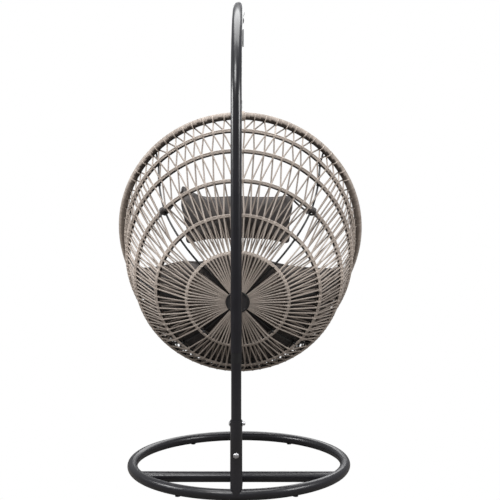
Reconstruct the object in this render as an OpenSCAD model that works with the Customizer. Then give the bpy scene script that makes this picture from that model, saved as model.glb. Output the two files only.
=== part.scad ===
// Hanging egg chair: a woven basket on a spring and chain, under a bent
// steel arch that stands on a round tube base.
// Millimetres. +Z is up and the chair opens towards +Y. The origin lies on
// the floor under the middle of the base ring.

/* [Base] */
// Radius of the base ring, to the middle of its tube
ring_r = 445; // [430:5:460]
// Outer diameter of the base ring tube
ring_tube_d = 42; // [40:1:45]
// Wall of the base tubes
base_wall = 1.5; // [1.2:0.1:2.5]
// Distance of the cross bar behind the middle of the ring
cross_bar_back = 215; // [180:5:260]
// Height of the rubber glides under the ring
glide_h = 3; // [2:0.5:5]
// Diameter of a rubber glide
glide_d = 20; // [16:1:26]

/* [Post] */
// Outer diameter of the lower post
post_d = 38; // [36:1:40]
// Wall of the lower post
post_wall = 2; // [1.5:0.1:3]
// Gap on each side between the post and the tubes round it
post_gap = 0.5; // [0.3:0.1:0.8]
// Wall of the socket that holds the post
socket_wall = 3; // [2:0.5:4]
// Height of the socket's rim above the floor
socket_top = 301; // [260:5:340]
// Distance of the rear bolt below the socket's rim
rear_bolt_drop = 127; // [110:1:140]
// Height of the arch tube's lower end above the floor
joint_z = 553; // [500:5:620]
// Length of the post inside the arch tube
post_overlap = 120; // [80:5:200]
// Height of the collar below the arch tube
collar_h = 41; // [25:1:50]
// Diameter of the socket bolts
bolt_d = 8; // [6:1:8]
// Diameter of the bolt heads
bolt_head_d = 21; // [16:1:22]

/* [Arch] */
// Height of the top of the arch above the floor
arch_top = 1950; // [1900:5:2000]
// Radius of the arch bend, to the middle of its tube
arch_bend_r = 450; // [440:5:460]
// Wall of the arch tube
arch_wall = 1.5; // [1.2:0.1:2.5]
// Length of the straight tip after the bend
arch_tip = 52; // [46:1:60]
// Distance of the hanging point in front of the middle of the ring
hang_y = 34; // [28:1:40]
// Rod diameter of the ring welded under the tip
arch_eye_rod = 8; // [7:0.5:9]
// Radius of the ring under the tip, to the middle of its rod
arch_eye_r = 16; // [15:0.5:18]

/* [Spring] */
// Outer diameter of the spring
spring_d = 38; // [34:1:42]
// Wire diameter of the spring
spring_wire = 5; // [4:0.5:5.5]
// Number of turns of the spring
spring_turns = 13; // [8:1:16]
// Gap between two turns at rest
spring_turn_gap = 0.5; // [0.5:0.1:2]
// Wire diameter of the two spring eyes
spring_eye_wire = 5; // [4:0.5:6]
// Radius of a spring eye, to the middle of its wire
spring_eye_r = 10.5; // [9.5:0.5:12]

/* [Chain] */
// Wire diameter of a chain link
link_wire = 5; // [4:0.5:6]
// Inner length of a chain link
link_in_l = 33.5; // [30:0.5:38]
// Inner width of a chain link
link_in_w = 12; // [10:0.5:14]
// Number of chain links
link_count = 6;
// Gap between two chained pieces at rest
chain_gap = 0.3; // [0.2:0.1:0.6]

/* [Snap hook] */
// Rod diameter of the snap hook
hook_rod = 6; // [5:0.5:7]
// Radius of the hook's bows, to the middle of the rod
hook_bow_r = 9.5; // [9:0.5:11]
// Inner length of the hook
hook_in_l = 40; // [38:0.5:48]
// Diameter of the gate's pin
gate_pin_d = 2; // [1.6:0.1:2.4]

/* [Basket frame] */
// Angle by which the hoops lean back
hoop_lean = 20; // [15:1:24]
// Distance of the hub in front of the post's middle
hub_gap = 200; // [185:1:215]
// Drop from the top of the rim tube to the hub
hub_drop = 766; // [740:2:790]
// Radius of the hub ring, to the middle of its rod
hub_r = 43; // [40:1:48]
// Rod diameter of the hub ring
hub_rod = 10; // [8:0.5:12]
// Radius of the first hoop from the hub
hoop_1_r = 197; // [185:1:205]
// Radius of the second hoop
hoop_2_r = 323; // [310:1:335]
// Radius of the third hoop
hoop_3_r = 417; // [400:1:430]
// Radius of the fourth hoop
hoop_4_r = 470; // [455:1:480]
// Radius of the fifth hoop
hoop_5_r = 493; // [485:1:503]
// Radius of the rim, to the middle of its tube
rim_r = 525; // [515:1:535]
// Distance from the hub forward to the first hoop
hoop_1_y = 14; // [8:1:24]
// Distance from the hub forward to the second hoop
hoop_2_y = 58; // [48:1:70]
// Distance from the hub forward to the third hoop
hoop_3_y = 140; // [125:1:155]
// Distance from the hub forward to the fourth hoop
hoop_4_y = 268; // [250:1:285]
// Distance from the hub forward to the fifth hoop
hoop_5_y = 390; // [375:1:405]
// Rod diameter of the hoops
hoop_rod = 8; // [6:0.5:10]
// Rod diameter of the ribs
rib_rod = 8; // [6:0.5:9]
// Outer diameter of the rim tube
rim_tube_d = 25; // [22:1:28]
// Wall of the rim tube
rim_wall = 2.5; // [1.5:0.1:3]
// Rod diameter of the eye on the rim
rim_eye_rod = 6; // [5:0.5:7]
// Radius of the eye on the rim, to the middle of its rod
rim_eye_r = 10; // [9.5:0.5:12]

/* [Weave] */
// Diameter of a strand
strand_d = 5; // [3:0.5:5]
// Thickness of the strand wound round a hoop
binding_t = 3; // [2:0.5:4]
// Thickness of the strand wound round the rim
rim_binding_t = 3.5; // [2:0.5:5]
// Turns of strand on a hoop between two ribs
turns_per_bay = 6; // [4:1:6]

/* [Cushions] */
// Height of the seat cushion's back edge above the floor
seat_top = 872; // [840:2:890]
// Rise of that edge at its middle
seat_rise = 45; // [30:5:50]
// Thickness of the seat cushion
seat_t = 80; // [70:5:110]
// Height of the head pillow's middle above the floor
pillow_z = 1062; // [1040:2:1080]
// Width of the head pillow
pillow_w = 470; // [440:5:480]
// Height of the head pillow
pillow_h = 215; // [190:5:230]
// Thickness of the head pillow
pillow_t = 95; // [80:5:115]

/* [Hidden] */

$fn = 48;
charcoal = [0.14, 0.14, 0.16];
greige = [0.68, 0.63, 0.57];
cushion_grey = [0.25, 0.24, 0.24];
zinc = [0.75, 0.75, 0.76];
weld_gap = 0.05;
seat_gap = 0.4;
bay = 45;

// Base and post
ring_z = glide_h + ring_tube_d / 2;
post_y = -ring_r;
socket_bore_d = post_d + 2 * post_gap;
socket_d = socket_bore_d + 2 * socket_wall;
post_foot = ring_z + ring_tube_d / 2 + 0.3;
post_top = joint_z + post_overlap;
cross_bolt_z = socket_top - 13;
rear_bolt_z = socket_top - rear_bolt_drop;
bolt_play = 0.3;
head_t = 5;
nut_d = 13;
nut_t = 6;
nut_cap_h = 5;
nut_flange_t = 1.5;
nut_dome_r = nut_t + nut_cap_h;

// Arch
arch_d = post_d + 2 * post_gap + 2 * arch_wall;
arch_z = arch_top - arch_d / 2;
bend_z = arch_z - arch_bend_r;
bend_y = post_y + arch_bend_r;
tip_y = bend_y + arch_tip;
tip_under = arch_z - arch_d / 2;
cap_t = 9;
cap_round = 6;
cap_r = arch_d / 2 + 0.8;
cap_plug_l = 16;
arch_eye_sink = 3;
arch_eye_z = tip_under - arch_eye_r - arch_eye_rod / 2 + arch_eye_sink;

// Spring, from the ring under the tip down
eye_in = spring_eye_r - spring_eye_wire / 2;
top_eye_z = arch_eye_z - arch_eye_r + arch_eye_rod / 2 + chain_gap - eye_in;
coil_rings = 8;
coil_r = (spring_d - spring_wire) / 2;
plug_d = 2 * coil_r * cos(180 / coil_rings) - spring_wire - 2 * chain_gap;
plug_h = 12;
stem_l = 6;
stem_d = spring_eye_wire + 2;
spring_pitch = spring_wire + spring_turn_gap;
spring_body = spring_turns * spring_pitch + spring_wire;
spring_top = top_eye_z - spring_eye_r - stem_l;
spring_bottom = spring_top - spring_body;
bottom_eye_z = spring_bottom - stem_l - spring_eye_r;

// Chain
link_pitch = link_in_l - chain_gap;
link_1_z = bottom_eye_z - eye_in + chain_gap - link_in_l / 2;
link_bow_r = (link_in_w + link_wire) / 2;
last_link_z = link_1_z - (link_count - 1) * link_pitch;

// Snap hook
hook_top_in = last_link_z - link_in_l / 2 + chain_gap;
hook_bottom_in = hook_top_in - hook_in_l;
hook_in_r = hook_bow_r - hook_rod / 2;
hook_top_bow = hook_top_in - hook_in_r;
hook_bottom_bow = hook_bottom_in + hook_in_r;
gate_d = 4.6;
gate_tongue_t = 2.4;
gate_slot_t = 2.9;
gate_knuckle_r = 2.6;
gate_leg = 7;
gate_pin_z = hook_top_bow - gate_leg;
gate_nose_z = hook_bottom_bow + 3;

// Basket: the rim eye fixes its height and depth
rim_eye_z = hook_bottom_in + chain_gap - (rim_eye_r - rim_eye_rod / 2);
rim_eye_sink = 3;
rim_top_z = rim_eye_z - rim_eye_r - rim_eye_rod / 2 + rim_eye_sink - rim_tube_d / 2;
rim_y = hang_y + rim_r * sin(hoop_lean);
rim_z = rim_top_z - rim_r * cos(hoop_lean);
hub_y = post_y + hub_gap;
hub_z = rim_top_z - hub_drop;
hoop_radii = [hub_r, hoop_1_r, hoop_2_r, hoop_3_r, hoop_4_r, hoop_5_r, rim_r];
hoop_steps = [0, hoop_1_y, hoop_2_y, hoop_3_y, hoop_4_y, hoop_5_y, rim_y - hub_y];
rod_radii = [
    for (k = [0 : 6]) k == 0 ? hub_rod / 2 : k == 6 ? rim_tube_d / 2 : hoop_rod / 2
];
skin_radii = [
    for (k = [0 : 6]) rod_radii[k] + (k == 0 ? 0 : k == 6 ? rim_binding_t : binding_t)
];
rise = (rim_z - hub_z) / (rim_y - hub_y);

// Middle of hoop k, which may lie between two hoops
function at(list, k) = lookup(k, [for (i = [0 : 6]) [i, list[i]]]);
function hoop_y(k) = hub_y + at(hoop_steps, k);
function hoop_z(k) = hub_z + rise * at(hoop_steps, k);
function hoop_mid(k) = [0, hoop_y(k), hoop_z(k)];
// Unit vector in the plane of the hoops, from their middle outwards
function spoke(a) = [cos(a), -sin(a) * sin(hoop_lean), sin(a) * cos(hoop_lean)];
function along(a) = [-sin(a), -cos(a) * sin(hoop_lean), cos(a) * cos(hoop_lean)];
function unit(v) = v / norm(v);
// Point of the basket's surface at hoop number k and angle a
function shell(k, a) = hoop_mid(k) + at(hoop_radii, k) * spoke(a);
// Direction along a rib at hoop k, and the way into the basket
function run(k, a) = unit(shell(min(6, k + 0.5), a) - shell(max(0, k - 0.5), a));
function inward(k, a) = unit(cross(along(a), run(k, a)));

// Smooth curve through four points, between the middle two
function catmull(p, t) = 0.5 * (
    2 * p[1] + (p[2] - p[0]) * t
    + (2 * p[0] - 5 * p[1] + 4 * p[2] - p[3]) * t * t
    + (3 * p[1] - p[0] - 3 * p[2] + p[3]) * t * t * t
);
function smooth(p, steps) = [
    for (i = [0 : len(p) - 2], s = [0 : steps - 1])
        catmull([p[max(0, i - 1)], p[i], p[i + 1], p[min(len(p) - 1, i + 2)]], s / steps),
    p[len(p) - 1]
];

// Closed tube of the given radius along a path of points
module sweep(path, r, sides) {
    last = len(path) - 1;
    ways = [
        for (i = [0 : last]) unit(path[min(last, i + 1)] - path[max(0, i - 1)])
    ];
    start = unit(cross(ways[0], abs(ways[0].z) < 0.9 ? [0, 0, 1] : [1, 0, 0]));
    across = carry(ways, start);
    points = [
        for (i = [0 : last], j = [0 : sides - 1])
            let (up = cross(ways[i], across[i]), a = 360 * j / sides)
                path[i] + r * (cos(a) * across[i] + sin(a) * up)
    ];
    skin = [
        for (i = [0 : last - 1], j = [0 : sides - 1])
            let (p = i * sides + j, q = i * sides + (j + 1) % sides)
                each [[p, p + sides, q], [q, p + sides, q + sides]]
    ];
    first_cap = [for (j = [1 : sides - 2]) [0, j, j + 1]];
    end = last * sides;
    last_cap = [for (j = [1 : sides - 2]) [end, end + j + 1, end + j]];
    polyhedron(points, concat(skin, first_cap, last_cap));
}

// Sideways vectors carried along a path without a twist
function carry(ways, v, i = 0) = i >= len(ways) ? []
    : let (w = unit(v - (v * ways[i]) * ways[i])) concat([w], carry(ways, w, i + 1));

// Closed skin over rings of points, with a point at each end
module rings_skin(points, rings, sides) {
    last = len(points) - 1;
    skin = [
        for (i = [0 : rings - 2], j = [0 : sides - 1])
            let (p = 1 + i * sides + j, q = 1 + i * sides + (j + 1) % sides)
                each [[p, q, p + sides], [q, q + sides, p + sides]]
    ];
    first_cap = [for (j = [0 : sides - 1]) [0, 1 + (j + 1) % sides, 1 + j]];
    end = 1 + (rings - 1) * sides;
    last_cap = [for (j = [0 : sides - 1]) [last, end + j, end + (j + 1) % sides]];
    polyhedron(points, concat(first_cap, skin, last_cap));
}

module place_hoop(k) {
    translate(hoop_mid(k)) rotate([hoop_lean - 90, 0, 0]) children();
}

module torus(r, rod_r) {
    rotate_extrude() translate([r, 0]) circle(rod_r);
}

module rod(a, b, r) {
    v = b - a;
    translate(a)
        rotate([0, acos(v.z / norm(v)), atan2(v.y, v.x)])
            cylinder(r = r, h = norm(v));
}

// Base
module base_ring() {
    color(charcoal) translate([0, 0, ring_z])
        rotate_extrude($fn = 96) translate([ring_r, 0]) difference() {
            circle(d = ring_tube_d);
            circle(d = ring_tube_d - 2 * base_wall);
        }
}

module ring_solid(extra) {
    translate([0, 0, ring_z]) torus(ring_r, ring_tube_d / 2 + extra, $fn = 96);
}

module base_cross_bar() {
    reach = sqrt(ring_r * ring_r - cross_bar_back * cross_bar_back);
    color(charcoal) difference() {
        translate([-reach, -cross_bar_back, ring_z]) rotate([0, 90, 0])
            cylinder(d = ring_tube_d, h = 2 * reach);
        translate([-reach - 1, -cross_bar_back, ring_z]) rotate([0, 90, 0])
            cylinder(d = ring_tube_d - 2 * base_wall, h = 2 * reach + 2);
        ring_solid(weld_gap);
    }
}

module base_spine() {
    length = -cross_bar_back - post_y;
    color(charcoal) difference() {
        translate([0, post_y, ring_z]) rotate([-90, 0, 0]) cylinder(d = ring_tube_d, h = length);
        translate([0, post_y - 1, ring_z]) rotate([-90, 0, 0])
            cylinder(d = ring_tube_d - 2 * base_wall, h = length + 2);
        translate([-ring_r, -cross_bar_back, ring_z]) rotate([0, 90, 0])
            cylinder(d = ring_tube_d + 2 * weld_gap, h = 2 * ring_r);
        translate([0, post_y, 0]) cylinder(d = socket_d + 2 * weld_gap, h = socket_top);
        ring_solid(weld_gap);
    }
}

module base_glides() {
    color("black") for (a = [0 : 60 : 300])
        difference() {
            rotate(a) translate([ring_r, 0, 0]) cylinder(d = glide_d, h = glide_h + 2);
            ring_solid(weld_gap);
        }
}

// Post
module post_socket() {
    color(charcoal) difference() {
        translate([0, post_y, ring_z]) cylinder(d = socket_d, h = socket_top - ring_z);
        translate([0, post_y, 0]) cylinder(d = socket_bore_d, h = socket_top + 1);
        ring_solid(weld_gap);
        bolt_holes();
    }
}

module bolt_holes() {
    hole_d = bolt_d + 2 * bolt_play;
    translate([-socket_d, post_y, cross_bolt_z]) rotate([0, 90, 0])
        cylinder(d = hole_d, h = 2 * socket_d);
    translate([0, post_y - socket_d, rear_bolt_z]) rotate([-90, 0, 0])
        cylinder(d = hole_d, h = 2 * socket_d);
}

module lower_post() {
    color(charcoal) difference() {
        translate([0, post_y, post_foot]) cylinder(d = post_d, h = post_top - post_foot);
        translate([0, post_y, post_foot - 1])
            cylinder(d = post_d - 2 * post_wall, h = post_top - post_foot + 2);
        bolt_holes();
    }
}

module post_collar() {
    outer = arch_d - 2;
    color("black") translate([0, post_y, joint_z - collar_h]) difference() {
        cylinder(d = outer, h = collar_h);
        translate([0, 0, -1]) cylinder(d = post_d + 2 * weld_gap, h = collar_h + 2);
    }
}

// A bolt along +Z with its domed head below the face at height 0
module dome_bolt(length) {
    dome_r = (bolt_head_d * bolt_head_d / 4 + head_t * head_t) / (2 * head_t);
    translate([0, 0, -bolt_play]) intersection() {
        translate([0, 0, dome_r - head_t]) sphere(dome_r, $fn = 64);
        translate([0, 0, -head_t]) cylinder(d = bolt_head_d, h = head_t);
    }
    translate([0, 0, -bolt_play]) cylinder(d = bolt_d, h = length);
}

module at_bolts() {
    translate([-socket_d / 2, post_y, cross_bolt_z]) rotate([0, 90, 0]) children();
    translate([0, post_y - socket_d / 2, rear_bolt_z]) rotate([-90, 0, 0]) children();
}

module socket_bolts() {
    color(zinc) at_bolts() dome_bolt(socket_d + nut_t + 2);
}

module socket_nuts() {
    color(zinc) at_bolts() translate([0, 0, socket_d + bolt_play]) difference() {
        union() {
            cylinder(d = bolt_head_d, h = nut_flange_t);
            intersection() {
                cylinder(d = nut_d, h = nut_t + nut_cap_h);
                translate([0, 0, nut_t + nut_cap_h - nut_dome_r]) sphere(nut_dome_r);
            }
        }
        translate([0, 0, -1]) cylinder(d = bolt_d + 2 * weld_gap, h = nut_t + 4);
    }
}

// Arch
module arch_solid(d) {
    translate([0, post_y, joint_z]) cylinder(d = d, h = bend_z - joint_z);
    translate([0, bend_y, bend_z]) rotate([90, 0, -90])
        rotate_extrude(angle = 90, $fn = 96) translate([arch_bend_r, 0]) circle(d = d);
    translate([0, bend_y, arch_z]) rotate([-90, 0, 0]) cylinder(d = d, h = arch_tip);
}

module arch_tube() {
    bore = arch_d - 2 * arch_wall;
    color(charcoal) difference() {
        arch_solid(arch_d);
        arch_solid(bore);
        translate([0, post_y, joint_z - 1]) cylinder(d = bore, h = 2);
        translate([0, tip_y - 1, arch_z]) rotate([-90, 0, 0]) cylinder(d = bore, h = 2);
    }
}

module arch_end_cap() {
    color("black") translate([0, tip_y, arch_z]) rotate([-90, 0, 0]) {
        translate([0, 0, weld_gap]) rotate_extrude() cap_profile();
        translate([0, 0, -cap_plug_l])
            cylinder(d = arch_d - 2 * arch_wall - 2 * weld_gap, h = cap_plug_l + 1);
    }
}

module cap_profile() {
    square([cap_r, cap_t - cap_round]);
    square([cap_r - cap_round, cap_t]);
    translate([cap_r - cap_round, cap_t - cap_round]) intersection() {
        circle(cap_round);
        square(cap_round);
    }
}

module arch_eye() {
    color(charcoal) difference() {
        translate([0, hang_y, arch_eye_z]) rotate([90, 0, 0]) torus(arch_eye_r, arch_eye_rod / 2);
        translate([0, bend_y - 60, arch_z]) rotate([-90, 0, 0])
            cylinder(d = arch_d + 2 * weld_gap, h = arch_tip + 120);
    }
}

// Spring: an eye screwed into each end of the coil
module spring_eye(eye_z, end_z, way) {
    translate([0, hang_y, eye_z]) rotate([0, 90, 0]) torus(spring_eye_r, spring_eye_wire / 2);
    stem_start = eye_z - way * spring_eye_r;
    stem_end = end_z - way;
    translate([0, hang_y, min(stem_start, stem_end)])
        cylinder(d = stem_d, h = abs(stem_end - stem_start));
    translate([0, hang_y, min(end_z, end_z - way * plug_h)]) cylinder(d = plug_d, h = plug_h);
}

module spring_top_eye() {
    color(charcoal) spring_eye(top_eye_z, spring_top, 1);
}

module spring_bottom_eye() {
    color(charcoal) spring_eye(bottom_eye_z, spring_bottom, -1);
}

coil_path = [
    for (i = [0 : spring_turns * coil_rings])
        let (a = 360 * i / coil_rings)
            [
                coil_r * cos(a), hang_y + coil_r * sin(a),
                spring_bottom + spring_wire / 2 + spring_pitch * i / coil_rings
            ]
];

module spring_coil() {
    next_turn = [for (i = [coil_rings - 2 : coil_rings + 2]) norm(coil_path[i] - coil_path[0])];
    echo(least_gap_between_turns = min(next_turn) - spring_wire);
    color(charcoal) sweep(coil_path, spring_wire / 2, 6);
}

// Chain
module stadium_ring(in_l, bow_r, rod_r) {
    half = in_l / 2 + rod_r - bow_r;
    for (s = [-1, 1]) {
        translate([0, 0, s * half]) rotate([90, 0, 0]) rotate([0, 0, s > 0 ? 0 : 180])
            rotate_extrude(angle = 180) translate([bow_r, 0]) circle(rod_r);
        translate([s * bow_r, 0, -half]) cylinder(r = rod_r, h = 2 * half);
    }
}

module chain_link(i) {
    color(charcoal) translate([0, hang_y, link_1_z - (i - 1) * link_pitch])
        rotate([0, 0, i % 2 == 1 ? 0 : 90])
            stadium_ring(link_in_l, link_bow_r, link_wire / 2);
}

// Snap hook: a bent rod, closed by a sprung gate on its +X side
module snap_hook() {
    color(charcoal) difference() {
        translate([0, hang_y, 0]) union() {
            translate([0, 0, hook_top_bow]) rotate([90, 0, 0])
                rotate_extrude(angle = 180) translate([hook_bow_r, 0]) circle(hook_rod / 2);
            translate([0, 0, hook_bottom_bow]) rotate([90, 0, 0]) rotate([0, 0, 180])
                rotate_extrude(angle = 180) translate([hook_bow_r, 0]) circle(hook_rod / 2);
            translate([-hook_bow_r, 0, hook_bottom_bow])
                cylinder(d = hook_rod, h = hook_top_bow - hook_bottom_bow);
            translate([hook_bow_r, 0, hook_bottom_bow])
                cylinder(d = hook_rod, h = gate_nose_z - hook_bottom_bow);
            translate([hook_bow_r, 0, gate_pin_z]) cylinder(d = hook_rod, h = gate_leg);
            translate([hook_bow_r, 0, gate_pin_z]) rotate([90, 0, 0])
                cylinder(d = hook_rod, h = hook_rod, center = true);
        }
        translate([hook_bow_r - hook_rod, hang_y - gate_slot_t / 2, gate_pin_z - hook_rod])
            cube([2 * hook_rod, gate_slot_t, hook_rod + gate_knuckle_r + 0.6]);
        gate_pin_hole(gate_pin_d);
    }
}

module gate_pin_hole(d) {
    translate([hook_bow_r, hang_y, gate_pin_z]) rotate([90, 0, 0])
        cylinder(d = d, h = 3 * hook_rod, center = true);
}

module snap_hook_gate() {
    gate_end = gate_nose_z + chain_gap;
    color(zinc) difference() {
        union() {
            translate([hook_bow_r, hang_y, gate_end])
                cylinder(d = gate_d, h = gate_pin_z - hook_rod / 2 - 0.8 - gate_end);
            translate([hook_bow_r - gate_d / 2, hang_y - gate_tongue_t / 2, gate_pin_z - hook_rod])
                cube([gate_d, gate_tongue_t, hook_rod]);
            translate([hook_bow_r, hang_y, gate_pin_z]) rotate([90, 0, 0])
                cylinder(r = gate_knuckle_r, h = gate_tongue_t, center = true);
        }
        gate_pin_hole(gate_pin_d + 0.1);
    }
}

module gate_pin() {
    color(zinc) translate([hook_bow_r, hang_y, gate_pin_z]) rotate([90, 0, 0])
        cylinder(d = gate_pin_d, h = hook_rod, center = true);
}

// Basket frame
module rim_eye() {
    color(charcoal) difference() {
        translate([0, hang_y, rim_eye_z]) rotate([0, 90, 0]) torus(rim_eye_r, rim_eye_rod / 2);
        place_hoop(6) torus(rim_r, rim_tube_d / 2 + weld_gap, $fn = 96);
    }
}

module rim_tube() {
    color(charcoal) place_hoop(6) rotate_extrude($fn = 96) translate([rim_r, 0]) difference() {
        circle(d = rim_tube_d);
        circle(d = rim_tube_d - 2 * rim_wall);
    }
}

module hub_ring() {
    color(charcoal) place_hoop(0) torus(hub_r, hub_rod / 2);
}

module hub_plate() {
    plate_t = 3;
    color(charcoal) place_hoop(0) difference() {
        translate([0, 0, -plate_t / 2]) cylinder(r = hub_r - hub_rod / 2 - weld_gap, h = plate_t);
        translate([0, 0, -plate_t]) cylinder(d = bolt_d, h = 2 * plate_t);
    }
}

module hoop(k) {
    color(charcoal) place_hoop(k) torus(hoop_radii[k], hoop_rod / 2, $fn = 96);
}

// A rib lies inside the hub ring, the hoops and the rim, and is welded to each
rib_r = rib_rod / 2;
function rib_point(k, a) = shell(k, a) + (rod_radii[k] + rib_r + weld_gap) * inward(k, a);

module ribs() {
    color(charcoal) for (a = [0 : bay : 359])
        sweep(smooth([for (k = [0 : 6]) rib_point(k, a)], 3), rib_r, 8);
}

// Weave: the strand is wound round each hoop from rib to rib
module binding(k, inner, outer) {
    clear = asin((rib_r + 2) / hoop_radii[k]);
    color(greige) place_hoop(k) for (a = [0 : bay : 359])
        rotate(a + clear) rotate_extrude(angle = bay - 2 * clear, $fn = 96)
            translate([hoop_radii[k], 0]) difference() {
                circle(outer);
                circle(inner + weld_gap);
            }
}

module rim_binding() {
    binding(6, rod_radii[6], skin_radii[6]);
}

// Angle of winding j on hoop k; the windings of every other hoop lie
// half a step further round
turns = turns_per_bay * 360 / bay;
function winding_a(j, k) = (j + (k % 2) / 2) * 360 / turns;
function on_rib(a) = abs(a / bay - round(a / bay)) < 0.01;
// Half the distance between the two strands that leave a winding, which
// pass on both sides of a rib where there is one
function spread(a) = strand_d / 2 + chain_gap + (on_rib(a) ? rib_r : 0);
// Length by which a strand along u stays short of the middle of hoop k
function grip(k, a, u) =
    (skin_radii[k] + chain_gap + strand_d / 2 * abs(u * along(a))) / norm(cross(u, along(a)));

module strand(k, a, side, b, end_side) {
    from = shell(k, a) + side * spread(a) * along(a);
    to = shell(k + 1, b) + end_side * spread(b) * along(b);
    u = unit(to - from);
    rod(from + grip(k, a, u) * u, to - grip(k + 1, b, u) * u, strand_d / 2);
}

// First zone: one strand from the hub ring to each winding of hoop 1
module weave_hub() {
    color(greige) for (j = [0 : turns - 1])
        strand(0, winding_a(j, 1), 0, winding_a(j, 1), 0);
}

// Other zones: two strands spread from each winding to the next hoop
module weave(k) {
    shift = k % 2 == 0 ? -1 : 0;
    color(greige) for (j = [0 : turns - 1]) {
        a = winding_a(j, k);
        strand(k, a, -1, winding_a(j + shift, k + 1), 1);
        strand(k, a, 1, winding_a(j + shift + 1, k + 1), -1);
    }
}

// Cushions rest on the ribs, which stand further in than the hoops
rib_face = hoop_rod / 2 + rib_rod + weld_gap;
rest = rib_face + seat_gap;
// First hoop number at which the basket at angle a is higher than z
function level(a, z, k = 0.4) =
    let (low = shell(k, a).z, high = shell(k + 0.05, a).z)
        k >= 5.9 ? 6
        : high > z ? k + 0.05 * max(0, z - low) / (high - low)
        : level(a, z, k + 0.05);

// The seat cushion fills the bowl: its edge rises a little at the back and
// falls towards the front
seat_side_k = 4.1;
seat_front_k = 5.6;
seat_edge = 30;
seat_sides = 40;
seat_steps = 14;
function seat_reach(a) = min(
    level(a, seat_top - seat_edge + seat_rise * pow(max(0, sin(a)), 3)),
    seat_side_k + (seat_front_k - seat_side_k) * pow(max(0, -sin(a)), 0.8)
);
// Lift of the two faces at share f of the way from the hub to the edge
function under_lift(f) = seat_t * 0.16 * pow(f, 6);
function top_lift(f) = under_lift(f) + seat_t * sqrt(max(0, 1 - pow(f, 4)));
function seat_point(f, a, lift) =
    let (k = f * seat_reach(a))
        shell(k, a) + (rest + lift) * inward(k, a);
function seat_middle(lift) = hoop_mid(0) + (rest + lift) * [0, cos(hoop_lean), sin(hoop_lean)];

module seat_cushion() {
    shares = [for (i = [1 : seat_steps]) sin(90 * i / seat_steps)];
    rings = concat(
        [for (f = shares) [f, under_lift(f)]],
        [for (i = [seat_steps - 2 : -1 : 0]) [shares[i], top_lift(shares[i])]]
    );
    points = concat(
        [seat_middle(0)],
        [
            for (r = rings, j = [0 : seat_sides - 1])
                seat_point(r[0], 360 * j / seat_sides, r[1])
        ],
        [seat_middle(seat_t)]
    );
    color(cushion_grey) rings_skin(points, len(rings), seat_sides);
}

// The head pillow leans on the middle rib, and its corners are drawn out
pillow_k = level(90, pillow_z, 1);
pillow_out = inward(pillow_k, 90);
pillow_up = run(pillow_k, 90);
pillow_mid = shell(pillow_k, 90) + (rest + pillow_t / 2) * pillow_out;
pillow_sides = 40;
pillow_steps = 7;
pillow_wrap_r = 560;
// Point of the pillow, which wraps round the wall of the basket
function on_pillow(x, out, up) =
    pillow_mid + [x, 0, 0] + (out + x * x / (2 * pillow_wrap_r)) * pillow_out + up * pillow_up;
function drawn(v) = sign(v) * pow(abs(v), 0.42);
function pillow_edge(a) = [
    pillow_w / 2 * drawn(cos(a)) * (1 - 0.07 * pow(cos(2 * a), 2)),
    pillow_h / 2 * drawn(sin(a)) * (1 - 0.14 * pow(cos(2 * a), 2))
];
function plump(f) = pillow_t / 2 * pow(max(0, 1 - pow(f, 2.2)), 0.7);

module head_pillow() {
    shares = [for (i = [1 : pillow_steps]) sin(90 * i / pillow_steps)];
    rings = concat(
        [for (f = shares) [f, -plump(f)]],
        [for (i = [pillow_steps - 2 : -1 : 0]) [shares[i], plump(shares[i])]]
    );
    points = concat(
        [on_pillow(0, -pillow_t / 2, 0)],
        [
            for (r = rings, j = [0 : pillow_sides - 1])
                let (e = pillow_edge(360 * j / pillow_sides))
                    on_pillow(r[0] * e.x, r[1], r[0] * e.y)
        ],
        [on_pillow(0, pillow_t / 2, 0)]
    );
    color(cushion_grey) rings_skin(points, len(rings), pillow_sides);
}

// A tie runs from each upper corner of the pillow to a knot on a rib
knot_r = 8;
tie_r = 2.5;
tie_a = 36;

module pillow_ties() {
    e = pillow_edge(tie_a);
    color(cushion_grey) for (s = [-1, 1]) {
        a = s > 0 ? bay : 180 - bay;
        knot = shell(3, a) + (rib_face + seat_gap + knot_r) * inward(3, a);
        corner = on_pillow(s * e.x, 0, e.y);
        translate(knot) sphere(knot_r);
        rod(knot, corner + (seat_gap + 1.55 * tie_r) * unit(knot - corner), tie_r);
    }
}

base_ring();
base_cross_bar();
base_spine();
base_glides();
post_socket();
lower_post();
post_collar();
socket_bolts();
socket_nuts();
arch_tube();
arch_end_cap();
arch_eye();
spring_top_eye();
spring_coil();
spring_bottom_eye();
chain_link(1);  // chain_link_1
chain_link(2);  // chain_link_2
chain_link(3);  // chain_link_3
chain_link(4);  // chain_link_4
chain_link(5);  // chain_link_5
chain_link(6);  // chain_link_6
snap_hook();
snap_hook_gate();
gate_pin();
rim_eye();
rim_tube();
rim_binding();
hub_ring();
hub_plate();
ribs();
hoop(1);  // hoop_1
hoop(2);  // hoop_2
hoop(3);  // hoop_3
hoop(4);  // hoop_4
hoop(5);  // hoop_5
binding(1, rod_radii[1], skin_radii[1]);  // binding_1
binding(2, rod_radii[2], skin_radii[2]);  // binding_2
binding(3, rod_radii[3], skin_radii[3]);  // binding_3
binding(4, rod_radii[4], skin_radii[4]);  // binding_4
binding(5, rod_radii[5], skin_radii[5]);  // binding_5
weave_hub();  // weave_1
weave(1);  // weave_2
weave(2);  // weave_3
weave(3);  // weave_4
weave(4);  // weave_5
weave(5);  // weave_6
seat_cushion();
head_pillow();
pillow_ties();
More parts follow.
